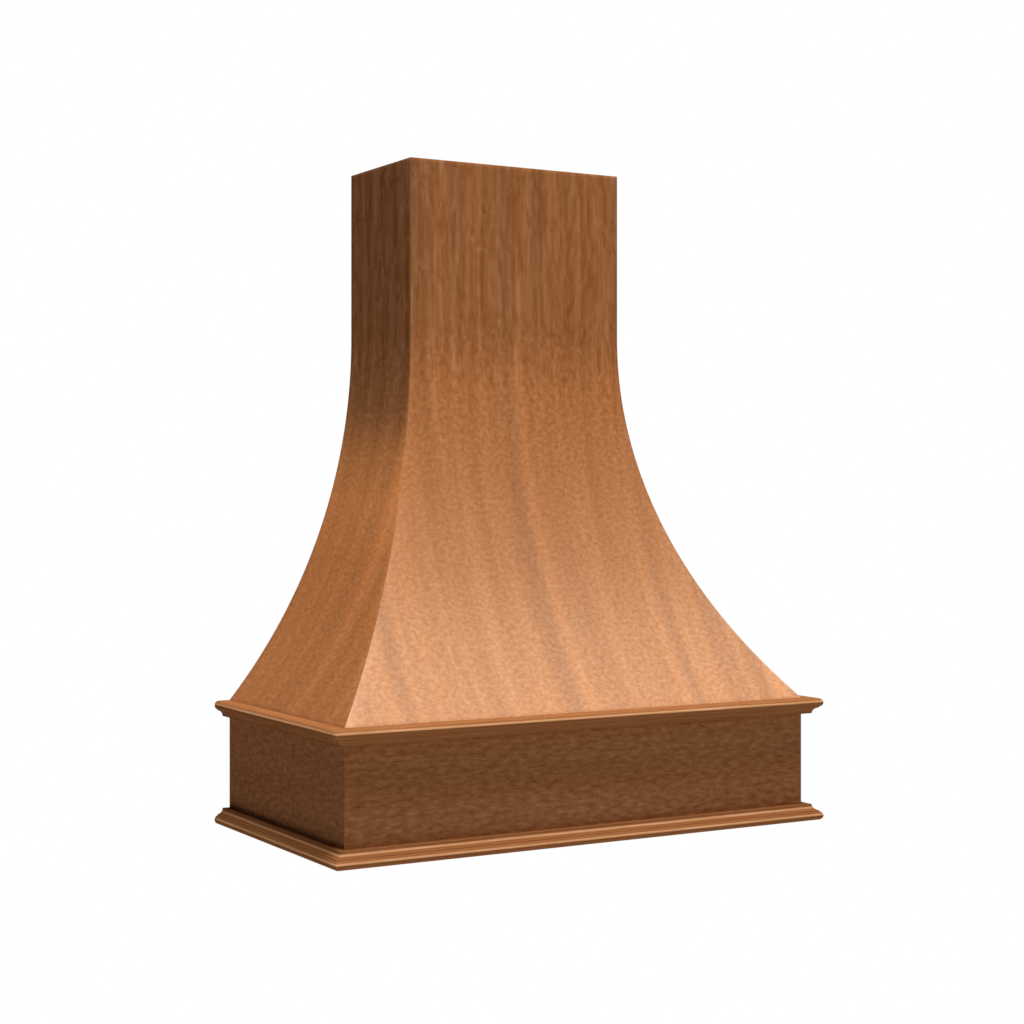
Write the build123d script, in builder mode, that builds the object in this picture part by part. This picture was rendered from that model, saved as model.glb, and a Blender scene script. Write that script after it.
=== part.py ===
"""Wooden wall range hood cover, built as a cabinet shop builds it.

A veneered skin bends over curved ribs, from a square chimney down to a moulded apron. The hood
hangs on the wall by a bevelled cleat, and a panel in its underside takes the ventilator insert.

Millimetres. The origin is the middle of the wall face at the bottom edge, +X is to the right
seen from the room, -Y is to the front and +Z is up.
"""
from build123d import *
import os
from math import asin, degrees, sqrt

# Driving dimensions of the outside
apron_width = 36 * IN
apron_depth = 19 * IN
apron_height = 8.6875 * IN
chimney_width = 17 * IN
chimney_depth = 9.5 * IN
total_height = 46.5 * IN
flare_radius = 40 * IN

# Stock
skin = 6.0
glue_line = 0.1
ply = 18.0
apron_board = 19.0
chimney_rail = 25.0
base_rail = 55.0

# Moulding section, out from the apron face and up from the nose side
moulding_projection = 1.125 * IN
moulding_height = 28.0
nose_radius = 8.0
fillet_depth = 23.0
fillet_height = 17.2
cove_radius = 11.0
cap_depth = 13.5
cap_height = 27.2

# Insert panel and what holds it
panel_level = 50.0
panel_clearance = 1.0
cutout_width = 720.0
cutout_depth = 300.0
cutout_corner = 6.0
ledger_thickness = 19.0
ledger_height = 38.0
corner_block = 38.0
corner_block_chamfer = 12.0
spline_thickness = 4.0
spline_width = 16.0
spline_height = 190.0
spline_inward = 2.0

# Wall side
stud_spacing = 16 * IN
back_rail_screw_level = 150.0
back_rail_screw_radius = 3.0
cleat_level = 395.0
wall_cleat_height = 50.0
wall_cleat_width = 480.0
hood_cleat_height = 58.0
hood_cleat_width = 470.0
cleat_bolt_radius = 4.0
hanging_rail_height = 90.0

# Loose tenons and screws
tenon_width = 24.0
tenon_thickness = 8.0
tenon_in_frame = 12.0
tenon_in_rib = 22.0
screw_radius = 2.0
screw_head_radius = 4.0
screw_head_height = 2.6
screw_length = 35.0
panel_screw_spacing = 380.0
cleat_screw_spacing = 300.0

# Rib positions: distances from the centre line, and from the wall
front_rib_places = {"left": -144.0, "centre": 0.0, "right": 144.0}
front_jack_place = 300.0
side_rib_place = 129.0
side_jack_place = 330.0

# Worked out from the above
flare_reach = apron_depth - chimney_depth
flare_rise = sqrt(2 * flare_radius * flare_reach - flare_reach**2)
tangent_height = apron_height + flare_rise
apron_inside_x = apron_width / 2 - apron_board
apron_inside_y = apron_depth - apron_board
chimney_inside_x = chimney_width / 2 - skin
chimney_inside_y = chimney_depth - skin
base_level = apron_height - ply
waist_level = tangent_height
top_level = total_height - ply
ledger_level = panel_level + ply
rib_foot_reach = (apron_inside_y - base_rail) - (chimney_inside_y - chimney_rail)
rib_back_radius = (flare_rise**2 + rib_foot_reach**2) / (2 * rib_foot_reach)
bevel_rise = ply
half_ply = ply / 2
overrun = 5.0

# A flare surface is how far its vertical part is set in from the skin, and its radius
skin_face = (0.0, flare_radius)
skin_back = (skin, flare_radius + skin)
rib_face = (skin + glue_line, flare_radius + skin + glue_line)
rib_back = (skin + chimney_rail, rib_back_radius)

sides = {"left": -1, "right": 1}
# Vertical 45 degree planes through the hips, facing the side of the hood
hips = {
    side: Plane(origin=(sign * chimney_width / 2, -chimney_depth, 0), z_dir=(sign, 1, 0))
    for side, sign in sides.items()
}


def save(piece, name):
    """Label a finished piece and write it to its own file."""
    piece.part.label = name
    export_step(piece.part, f"parts/{name}.step")


def reach_at(height, half_size, surface):
    """Distance of a flare surface from the wall or the centre line at a height."""
    inset, radius = surface
    drop = tangent_height - height
    return half_size - inset + radius - sqrt(radius**2 - drop**2)


def flare_curve(half_size, surface, low, sign):
    """Arc of a flare surface from a low level up to where it turns vertical."""
    heights = (low, (low + tangent_height) / 2, tangent_height)
    return ThreePointArc(*[(sign * reach_at(z, half_size, surface), z) for z in heights])


def envelope(surface, low, high, back):
    """Solid inside a flare surface of the front and both sides, as far back as given."""
    inset = surface[0]
    with BuildPart() as body:
        with BuildSketch(Plane.YZ):
            with BuildLine():
                arc = flare_curve(chimney_depth, surface, low, -1)
                top_y = inset - chimney_depth
                Polyline((top_y, tangent_height), (top_y, high), (back, high), (back, low), arc @ 0)
            make_face()
        extrude(amount=apron_width, both=True)
        with BuildSketch(Plane.XZ):
            with BuildLine():
                arc = flare_curve(chimney_width / 2, surface, low, 1)
                top_x = chimney_width / 2 - inset
                Polyline((top_x, tangent_height), (top_x, high), (0, high), (0, low), arc @ 0)
            make_face()
            mirror(about=Plane.YZ)
        extrude(amount=2 * apron_depth, both=True, mode=Mode.INTERSECT)
    return body.part


def block(x_range, y_range, z_range, mode=Mode.ADD):
    """Square-cut board between two corners, joined to the part that is being made."""
    with BuildSketch(Plane.XY.offset(z_range[0])) as plan:
        with Locations(((x_range[0] + x_range[1]) / 2, (y_range[0] + y_range[1]) / 2)):
            Rectangle(x_range[1] - x_range[0], y_range[1] - y_range[0])
    extrude(plan.sketch, amount=z_range[1] - z_range[0], mode=mode)


def screw(length):
    """Countersunk wood screw, head flush with the XY plane and shank along -Z."""
    with BuildPart() as body:
        with BuildSketch(Plane.XZ):
            Polygon(
                (0, 0),
                (screw_head_radius, 0),
                (screw_radius, -screw_head_height),
                (screw_radius, -length),
                (0, -length),
                align=None,
            )
        revolve(axis=Axis.Z)
    return body.part


def screws_at(planes, length, mode=Mode.ADD):
    """The same screw driven into each plane, as screws or as the holes they need."""
    driven = screw(length)
    for place in planes:
        add(place.location * driven, mode=mode)


# Where the screws go: each plane lies on the face that a head is flush with
panel_screws_in = [
    Plane(origin=(x, y, panel_level), z_dir=(0, 0, -1))
    for x in (-panel_screw_spacing, 0, panel_screw_spacing)
    for y in (-apron_inside_y + ledger_thickness / 2, -apron_board - ledger_thickness / 2)
]
cleat_screw_height = cleat_level + wall_cleat_height + 20.0
cleat_screws_in = [
    Plane(origin=(sign * cleat_screw_spacing / 2, 0, cleat_screw_height), z_dir=(0, 1, 0))
    for sign in sides.values()
]


def back_rib_middle(height):
    """Half way between the face and the back of a rib on the wall, from the centre line."""
    face = reach_at(height, chimney_width / 2, rib_face)
    back = reach_at(height, chimney_width / 2, rib_back)
    return (face + back) / 2


hanging_rail_level = cleat_level + wall_cleat_height
hanging_screw_heights = (hanging_rail_level + 25.0, hanging_rail_level + 65.0)
hanging_screws_in = [
    Plane(origin=(sign * back_rib_middle(z), -2 * ply, z), z_dir=(0, -1, 0))
    for sign in sides.values()
    for z in hanging_screw_heights
]

# A loose tenon stands under every rib, in line with it, in the middle of its seat on the base frame
tenon_x = apron_inside_x - base_rail / 2
tenon_y = apron_inside_y - base_rail / 2
front_rib_xs = [*front_rib_places.values(), -front_jack_place, front_jack_place]
side_rib_ys = [half_ply, side_rib_place, side_jack_place]
tenon_places = [Location((x, -tenon_y), 90) for x in front_rib_xs]
for sign in sides.values():
    tenon_places += [Location((sign * tenon_x, -y)) for y in side_rib_ys]
    tenon_places.append(Location((sign * tenon_x, -tenon_y), -sign * 45))


def tenons(mode=Mode.ADD):
    """The loose tenons under the ribs, as wood or as the mortises they need."""
    with BuildSketch(Plane.XY.offset(apron_height - tenon_in_frame)) as ends:
        with Locations(*tenon_places):
            Rectangle(tenon_width, tenon_thickness)
    extrude(ends.sketch, amount=tenon_in_frame + tenon_in_rib, mode=mode)


os.makedirs("parts", exist_ok=True)

# Skin: three veneered panels, mitred where they meet at the hips
outside = envelope(skin_face, apron_height, total_height, 0)
inside = envelope(skin_back, apron_height - overrun, total_height + overrun, overrun)

with BuildPart() as front_skin:
    add(outside)
    add(inside, mode=Mode.SUBTRACT)
    for hip in hips.values():
        split(bisect_by=hip, keep=Keep.BOTTOM)
save(front_skin, "front_skin")

for side, hip in hips.items():
    with BuildPart() as side_skin:
        add(outside)
        add(inside, mode=Mode.SUBTRACT)
        split(bisect_by=hip, keep=Keep.TOP)
    save(side_skin, f"{side}_skin")


# Ribs: the face of each follows the skin, and the back is a flatter arc
def rib_outline(half_size, sign):
    """Closed outline of a rib, upright on the base frame and square under the waist frame."""
    face = flare_curve(half_size, rib_face, apron_height, sign)
    back = flare_curve(half_size, rib_back, apron_height, sign)
    Line(face @ 0, back @ 0)
    Line(face @ 1, back @ 1)


def front_rib(x):
    """Rib behind the front skin, centred on x."""
    with BuildSketch(Plane.YZ.offset(x - half_ply)) as outline:
        with BuildLine():
            rib_outline(chimney_depth, -1)
        make_face()
    extrude(outline.sketch, amount=ply)
    tenons(Mode.SUBTRACT)


def side_rib(y, sign):
    """Rib behind a side skin, centred on a distance y from the wall."""
    with BuildSketch(Plane.XZ.offset(y - half_ply)) as outline:
        with BuildLine():
            rib_outline(chimney_width / 2, sign)
        make_face()
    extrude(outline.sketch, amount=ply)
    tenons(Mode.SUBTRACT)


for place, x in front_rib_places.items():
    with BuildPart() as rib:
        front_rib(x)
    save(rib, f"front_rib_{place}")

# Jack ribs stop against the cheek of the hip rib
for side, sign in sides.items():
    with BuildPart() as rib:
        front_rib(sign * front_jack_place)
        split(bisect_by=hips[side].offset(-half_ply), keep=Keep.BOTTOM)
    save(rib, f"front_jack_rib_{side}")

    with BuildPart() as rib:
        side_rib(side_jack_place, sign)
        split(bisect_by=hips[side].offset(half_ply), keep=Keep.TOP)
    save(rib, f"side_jack_rib_{side}")

    with BuildPart() as rib:
        side_rib(side_rib_place, sign)
    save(rib, f"side_rib_{side}")

    with BuildPart() as rib:
        side_rib(half_ply, sign)
        screws_at(hanging_screws_in, screw_length, Mode.SUBTRACT)
    save(rib, f"back_rib_{side}")


# Hip ribs: on the diagonal both arcs become ellipses, and the face is backed to both skins
def hip_curve(surface):
    """Flare surface where the front and a side meet, drawn on the hip plane."""
    inset, radius = surface
    turn = degrees(asin(flare_rise / radius))
    middle = (sqrt(2) * (radius - inset), tangent_height)
    return EllipticalCenterArc(middle, sqrt(2) * radius, radius, 180, arc_size=turn)


backed_face = envelope(rib_face, apron_height, total_height, 0)

for side, sign in sides.items():
    hip_drawing = Plane(
        origin=(sign * chimney_width / 2, -chimney_depth, 0), x_dir=(sign, -1, 0), z_dir=(-1, -sign, 0)
    )
    with BuildPart() as rib:
        with BuildSketch(hip_drawing):
            with BuildLine():
                face = hip_curve(rib_face)
                back = hip_curve(rib_back)
                Line(face @ 0, back @ 0)
                Line(face @ 1, back @ 1)
            make_face()
        extrude(amount=half_ply, both=True)
        add(backed_face, mode=Mode.INTERSECT)
        tenons(Mode.SUBTRACT)
    save(rib, f"hip_rib_{side}")


# Frames: four rails halved together at the corners
def lapped_frame(name, level, half_width, depth, rail, back_rail):
    """Front and back rails keep the lower half of each corner, and side rails the upper half."""
    z_range = (level, level + ply)
    upper_half = (level + half_ply, level + ply + overrun)
    lower_half = (level - overrun, level + half_ply)
    for place, y_range in {"front": (-depth, rail - depth), "back": (-back_rail, 0)}.items():
        with BuildPart() as member:
            block((-half_width, half_width), y_range, z_range)
            for sign in sides.values():
                ends = sorted((sign * half_width, sign * (half_width - rail)))
                block(ends, y_range, upper_half, Mode.SUBTRACT)
            tenons(Mode.SUBTRACT)
        save(member, f"{name}_{place}")
    for side, sign in sides.items():
        x_range = sorted((sign * half_width, sign * (half_width - rail)))
        with BuildPart() as member:
            block(x_range, (-depth, 0), z_range)
            block(x_range, (-depth, rail - depth), lower_half, Mode.SUBTRACT)
            block(x_range, (-back_rail, 0), lower_half, Mode.SUBTRACT)
            tenons(Mode.SUBTRACT)
        save(member, f"{name}_{side}")


lapped_frame("base_frame", base_level, apron_inside_x, apron_inside_y, base_rail, base_rail)
lapped_frame("waist_frame", waist_level, chimney_inside_x, chimney_inside_y, chimney_rail, ply)
lapped_frame("top_frame", top_level, chimney_inside_x, chimney_inside_y, chimney_rail, ply)

# Chimney posts between the waist and top frames
for side, sign in sides.items():
    x_range = sorted((sign * chimney_inside_x, sign * (chimney_inside_x - chimney_rail)))
    z_range = (waist_level + ply, top_level)
    with BuildPart() as post:
        block(x_range, (-chimney_inside_y, chimney_rail - chimney_inside_y), z_range)
    save(post, f"front_post_{side}")
    with BuildPart() as post:
        block(x_range, (-ply, 0), z_range)
    save(post, f"back_post_{side}")


# Apron: three boards mitred on the hip planes, with a spline in each mitre
def apron_splines(mode=Mode.ADD):
    """Loose tongues across both mitres, as wood or as the grooves they need."""
    middle_x = apron_width / 2 - apron_board / 2 - spline_inward
    middle_y = -apron_depth + apron_board / 2 + spline_inward
    with BuildSketch(Plane.XY) as ends:
        for sign in sides.values():
            with Locations(Location((sign * middle_x, middle_y), sign * 45)):
                Rectangle(spline_width, spline_thickness)
    extrude(ends.sketch, amount=spline_height, mode=mode)


with BuildPart() as front_apron:
    block((-apron_width / 2, apron_width / 2), (-apron_depth, -apron_inside_y), (0, apron_height))
    for hip in hips.values():
        split(bisect_by=hip, keep=Keep.BOTTOM)
    apron_splines(Mode.SUBTRACT)
save(front_apron, "front_apron_board")

for side, sign in sides.items():
    with BuildPart() as side_apron:
        x_range = sorted((sign * apron_width / 2, sign * apron_inside_x))
        block(x_range, (-apron_depth, 0), (0, apron_height))
        split(bisect_by=hips[side], keep=Keep.TOP)
        apron_splines(Mode.SUBTRACT)
    save(side_apron, f"{side}_apron_board")

with BuildPart() as splines:
    apron_splines()
save(splines, "apron_mitre_splines")

for side, sign in sides.items():
    with BuildPart() as glue_block:
        x_range = sorted((sign * apron_inside_x, sign * (apron_inside_x - corner_block)))
        y_range = (-apron_inside_y, corner_block - apron_inside_y)
        block(x_range, y_range, (ledger_level + ledger_height, base_level))
        upright = glue_block.edges().filter_by(Axis.Z)
        chamfer(upright.sort_by(lambda edge: edge.center().Y - sign * edge.center().X)[-1], corner_block_chamfer)
    save(glue_block, f"corner_block_{side}")

with BuildPart() as back_rail:
    block((-apron_inside_x, apron_inside_x), (-apron_board, 0), (0, base_level))
    with BuildSketch(Plane.XZ):
        with Locations((0, back_rail_screw_level)):
            with GridLocations(stud_spacing, 0, 2, 1):
                Circle(back_rail_screw_radius)
    extrude(amount=apron_board, mode=Mode.SUBTRACT)
save(back_rail, "back_apron_rail")


# Mouldings: one section, nose upwards under the flare and nose downwards at the bottom edge
def moulding_face():
    """Nose, fillet, cove and cap, drawn with the apron face as the local Y axis."""
    nose_middle = moulding_projection - nose_radius
    nose_end = nose_radius + sqrt(nose_radius**2 - (fillet_depth - nose_middle) ** 2)
    with BuildLine() as section:
        Line((0, 0), (nose_middle, 0))
        ThreePointArc((nose_middle, 0), (moulding_projection, nose_radius), (fillet_depth, nose_end))
        Line((fillet_depth, nose_end), (fillet_depth, fillet_height))
        RadiusArc((fillet_depth, fillet_height), (cap_depth, cap_height), cove_radius)
        Polyline((cap_depth, cap_height), (cap_depth, moulding_height), (0, moulding_height), (0, 0))
    make_face(section.edges())


bands = {"upper": (apron_height, Vector(0, 0, -1)), "lower": (0, Vector(0, 0, 1))}
for band, (level, rise) in bands.items():
    outward = Vector(0, -1, 0)
    with BuildPart() as moulding:
        with BuildSketch(Plane((0, -apron_depth, level), x_dir=outward, z_dir=outward.cross(rise))):
            moulding_face()
        extrude(amount=apron_width, both=True)
        for hip in hips.values():
            split(bisect_by=hip, keep=Keep.BOTTOM)
    save(moulding, f"{band}_front_moulding")

    for side, sign in sides.items():
        outward = Vector(sign, 0, 0)
        corner = (sign * apron_width / 2, 0, level)
        with BuildPart() as moulding:
            with BuildSketch(Plane(corner, x_dir=outward, z_dir=outward.cross(rise))):
                moulding_face()
            extrude(amount=2 * apron_depth, both=True)
            split(bisect_by=hips[side], keep=Keep.TOP)
            split(bisect_by=Plane.XZ, keep=Keep.TOP)
        save(moulding, f"{band}_{side}_moulding")

# Ledgers round the inside of the apron, and the panel that is screwed up to them
ledger_z = (ledger_level, ledger_level + ledger_height)
long_ledgers = {
    "front": (-apron_inside_y, ledger_thickness - apron_inside_y),
    "back": (-apron_board - ledger_thickness, -apron_board),
}
for place, y_range in long_ledgers.items():
    with BuildPart() as ledger:
        block((-apron_inside_x, apron_inside_x), y_range, ledger_z)
        screws_at(panel_screws_in, screw_length, Mode.SUBTRACT)
    save(ledger, f"{place}_ledger")

for side, sign in sides.items():
    with BuildPart() as ledger:
        x_range = sorted((sign * apron_inside_x, sign * (apron_inside_x - ledger_thickness)))
        block(x_range, (long_ledgers["front"][1], long_ledgers["back"][0]), ledger_z)
        screws_at(panel_screws_in, screw_length, Mode.SUBTRACT)
    save(ledger, f"{side}_ledger")

with BuildPart() as insert_panel:
    panel_x = apron_inside_x - panel_clearance
    panel_y = (panel_clearance - apron_inside_y, -apron_board - panel_clearance)
    block((-panel_x, panel_x), panel_y, (panel_level, ledger_level))
    with BuildSketch(Plane.XY.offset(panel_level)):
        with Locations((0, -apron_depth / 2)):
            RectangleRounded(cutout_width, cutout_depth, cutout_corner)
    extrude(amount=ply, mode=Mode.SUBTRACT)
    screws_at(panel_screws_in, screw_length, Mode.SUBTRACT)
save(insert_panel, "insert_mounting_panel")


# Cleats: the bevel of the hood's cleat drops behind the bevel of the wall's
def bevelled_cleat(corners, width):
    """Cleat of a given section, square to the wall, centred on the hood."""
    with BuildSketch(Plane.YZ) as section:
        Polygon(*corners, align=None)
    extrude(section.sketch, amount=width / 2, both=True)


cleat_joint = cleat_level + wall_cleat_height
with BuildPart() as wall_cleat:
    bevelled_cleat(
        [(0, cleat_level), (0, cleat_joint - bevel_rise), (-ply, cleat_joint), (-ply, cleat_level)],
        wall_cleat_width,
    )
    with BuildSketch(Plane.XZ):
        with Locations((0, cleat_level + (wall_cleat_height - bevel_rise) / 2)):
            with GridLocations(stud_spacing, 0, 2, 1):
                Circle(cleat_bolt_radius)
    extrude(amount=ply, mode=Mode.SUBTRACT)
save(wall_cleat, "wall_cleat")

cleat_top = cleat_joint - bevel_rise + hood_cleat_height
with BuildPart() as hood_cleat:
    bevelled_cleat(
        [(0, cleat_joint - bevel_rise), (0, cleat_top), (-ply, cleat_top), (-ply, cleat_joint)],
        hood_cleat_width,
    )
    screws_at(cleat_screws_in, screw_length, Mode.SUBTRACT)
save(hood_cleat, "hood_cleat")

with BuildPart() as hanging_rail:
    block(
        (-apron_width / 2, apron_width / 2),
        (-2 * ply, -ply),
        (hanging_rail_level, hanging_rail_level + hanging_rail_height),
    )
    add(backed_face, mode=Mode.INTERSECT)
    screws_at(cleat_screws_in, screw_length, Mode.SUBTRACT)
    screws_at(hanging_screws_in, screw_length, Mode.SUBTRACT)
save(hanging_rail, "hanging_rail")

# Loose tenons and screws
with BuildPart() as rib_tenons:
    tenons()
save(rib_tenons, "rib_tenons")

fasteners = {
    "panel_screws": panel_screws_in,
    "cleat_screws": cleat_screws_in,
    "hanging_rail_screws": hanging_screws_in,
}
for name, places in fasteners.items():
    with BuildPart() as driven_screws:
        screws_at(places, screw_length)
    save(driven_screws, name)
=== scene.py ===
"""Looks of a wooden wall range hood cover: veneered skins, moulded apron, ribs, cleats and screws.

Metres throughout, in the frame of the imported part: the wall is the plane y = 0, -Y is to the
front and z = 0 is the bottom edge. Every wooden piece carries a vector attribute "grain", which
holds, for each point, the distance along its grain, across it and in from its face.
"""

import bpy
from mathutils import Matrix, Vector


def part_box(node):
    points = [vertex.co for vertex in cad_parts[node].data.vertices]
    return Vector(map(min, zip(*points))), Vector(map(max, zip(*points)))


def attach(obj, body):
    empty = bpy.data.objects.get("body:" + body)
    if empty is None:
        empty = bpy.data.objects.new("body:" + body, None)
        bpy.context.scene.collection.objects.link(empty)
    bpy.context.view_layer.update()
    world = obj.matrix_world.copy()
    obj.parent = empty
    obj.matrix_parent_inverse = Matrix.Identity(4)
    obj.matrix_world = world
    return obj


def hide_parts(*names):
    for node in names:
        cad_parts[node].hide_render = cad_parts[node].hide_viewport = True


bl_info = {
    "name": "Wooden range hood cover",
    "version": (1, 0, 0),
    "blender": (4, 5, 0),
    "location": "View3D > Sidebar > Hood",
    "description": "Veneered skins, moulded apron, ribs, cleats and screws of a range hood cover",
    "category": "Add Mesh",
}

import math
import random

import bmesh
import bpy
from mathutils import Matrix, Vector

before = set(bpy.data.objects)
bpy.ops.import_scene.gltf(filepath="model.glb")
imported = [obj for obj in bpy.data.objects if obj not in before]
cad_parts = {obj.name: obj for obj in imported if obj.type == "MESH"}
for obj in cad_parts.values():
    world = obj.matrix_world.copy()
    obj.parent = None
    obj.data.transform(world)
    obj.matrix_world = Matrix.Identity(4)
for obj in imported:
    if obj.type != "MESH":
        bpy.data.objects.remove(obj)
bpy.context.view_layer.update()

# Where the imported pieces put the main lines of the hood
waist_low, waist_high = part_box("waist_frame_front")
apron_low, apron_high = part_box("front_apron_board")
skin_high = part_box("front_skin")[1]
moulding_low, moulding_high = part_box("upper_front_moulding")
foot_level = apron_high.z
bend_level = waist_low.z
top_level = skin_high.z
apron_half_width = apron_high.x
apron_depth = -apron_low.y

ALONG_X = Vector((1, 0, 0))
ALONG_Y = Vector((0, 1, 0))
ALONG_Z = Vector((0, 0, 1))
sides = {"left": -1, "right": 1}

# Corners of the CAD meshes closer than SAME_PLACE are one, their facets flatter than FLAT_ANGLE
# are one face, and an edge sharper than SHARP_ANGLE is eased and stays a corner
SAME_PLACE = 1e-5
FLAT_ANGLE = math.radians(0.4)
SHARP_ANGLE = math.radians(28)

# Where the soft lamps stand, their widths and heights, and the place that both point at
LAMP_AIM = Vector((0, -0.25, 0.55))
OVERHEAD_PLACE, OVERHEAD_SIZE = Vector((0, -1.8, 12)), (4.1, 4.8)
FRONT_PLACE, FRONT_SIZE = Vector((-1.1, -4.6, 1.2)), (2.2, 1.8)


# ------------ sizes and colours to change
def length_setting(name, description, default):
    """A length that a user can change."""
    return bpy.props.FloatProperty(name=name, description=description, default=default, unit="LENGTH")


def colour_setting(name, description, default):
    """A colour that a user can change."""
    return bpy.props.FloatVectorProperty(
        name=name, description=description, default=default, size=3, subtype="COLOR", min=0, max=1
    )


class HoodSkinSizes(bpy.types.PropertyGroup):
    """The three bent panels."""

    thickness: length_setting("Thickness", "Bending plywood with its veneer", 0.006)
    rows: bpy.props.IntProperty(
        name="Rows", description="Faces from the apron to the top", default=150, min=20
    )
    columns: bpy.props.IntProperty(
        name="Columns", description="Faces across a panel", default=24, min=2
    )
    arris: length_setting("Arris", "Easing of the sharp edges", 0.0004)


class HoodBoardSizes(bpy.types.PropertyGroup):
    """Straight boards, ribs and mouldings."""

    arris: length_setting("Arris", "Easing of a board's edges", 0.0007)
    ply_layers: bpy.props.IntProperty(
        name="Plywood layers", description="Layers in an 18 mm board", default=13, min=3
    )
    nose_radius: length_setting("Nose radius", "Round of the moulding", 0.008)
    fillet_depth: length_setting("Fillet depth", "How far out the fillet stands", 0.023)
    fillet_height: length_setting("Fillet height", "Level of the cove's outer edge", 0.0172)
    cove_radius: length_setting("Cove radius", "Hollow of the moulding", 0.011)
    cap_depth: length_setting("Cap depth", "How far out the cap stands", 0.0135)
    cap_height: length_setting("Cap height", "Level of the cap's edge", 0.0272)
    nose_steps: bpy.props.IntProperty(
        name="Nose steps", description="Faces round the nose", default=40, min=6
    )


class HoodScrewSizes(bpy.types.PropertyGroup):
    """Countersunk wood screws."""

    head_radius: length_setting("Head radius", "Radius of the flat head", 0.0039)
    head_height: length_setting("Head height", "Depth of the cone", 0.0026)
    root_radius: length_setting("Root radius", "Core of the shank", 0.0014)
    thread_radius: length_setting("Thread radius", "Crest of the thread", 0.00195)
    length: length_setting("Length", "Head to point", 0.035)
    pitch: length_setting("Pitch", "Advance of the thread in a turn", 0.0018)


class HoodColours(bpy.types.PropertyGroup):
    """Mean colours of the woods, scene linear."""

    # The skin's colour is the front panel's at its foot, with a painted sheen in it
    skin: colour_setting("Skin veneer", "Front panel, at the foot", (0.636, 0.3025, 0.143))
    apron: colour_setting("Apron veneer", "Front apron board", (0.305, 0.1145, 0.0382))
    moulding: colour_setting("Moulding", "Solid mahogany", (0.31, 0.118, 0.041))
    birch: colour_setting("Birch ply", "Ribs, frames and panel", (0.60, 0.43, 0.26))
    bending: colour_setting("Bending ply", "Back of the bent panels", (0.50, 0.31, 0.19))
    pine: colour_setting("Softwood", "Ledgers, posts and cleats", (0.62, 0.43, 0.22))
    beech: colour_setting("Beech", "Tenons and splines", (0.55, 0.36, 0.22))
    zinc: colour_setting("Zinc", "Plated screws", (0.55, 0.52, 0.42))


class HoodStudio(bpy.types.PropertyGroup):
    """Lights and floor."""

    overhead_power: bpy.props.FloatProperty(
        name="Overhead light", description="Soft light high above", default=2200.0, subtype="POWER"
    )
    front_power: bpy.props.FloatProperty(
        name="Front light", description="Weak light on the front", default=37.0, subtype="POWER"
    )
    ambient: bpy.props.FloatProperty(
        name="Ambient", description="Strength of the sky on the object", default=0.01, min=0
    )
    floor_level: length_setting("Floor level", "Kitchen floor under the hood", -1.65)


setting_groups = {
    "hood_skin": HoodSkinSizes,
    "hood_boards": HoodBoardSizes,
    "hood_screws": HoodScrewSizes,
    "hood_colours": HoodColours,
    "hood_studio": HoodStudio,
}


# ------------ node trees
class Recipe:
    """A node tree that is being filled."""

    def __init__(self, tree):
        self.tree = tree

    def add(self, kind, inputs=None, **settings):
        """Add a node, set it up, and set or link its inputs."""
        made = self.tree.nodes.new(kind)
        for key, value in settings.items():
            setattr(made, key, value)
        for key, value in (inputs or {}).items():
            if isinstance(value, bpy.types.NodeSocket):
                self.tree.links.new(value, made.inputs[key])
            else:
                made.inputs[key].default_value = value
        return made

    def maths(self, operation, *values):
        """Result of a Math node."""
        return self.add("ShaderNodeMath", dict(enumerate(values)), operation=operation).outputs[0]

    def sum(self, first, second):
        """One value plus another."""
        return self.maths("ADD", first, second)

    def difference(self, first, second):
        """One value less another."""
        return self.maths("SUBTRACT", first, second)

    def product(self, first, second):
        """One value times another."""
        return self.maths("MULTIPLY", first, second)

    def scaled(self, value, factor, offset):
        """A value times a factor, plus an offset."""
        return self.maths("MULTIPLY_ADD", value, factor, offset)

    def vector(self, x, y, z):
        """Vector from three numbers or sockets."""
        return self.add("ShaderNodeCombineXYZ", {"X": x, "Y": y, "Z": z}).outputs[0]

    def lifted(self, shape, height):
        """A mesh moved up by a height."""
        rise = self.vector(0.0, 0.0, height)
        return self.add("GeometryNodeTransform", {"Geometry": shape, "Translation": rise}).outputs[0]


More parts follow.
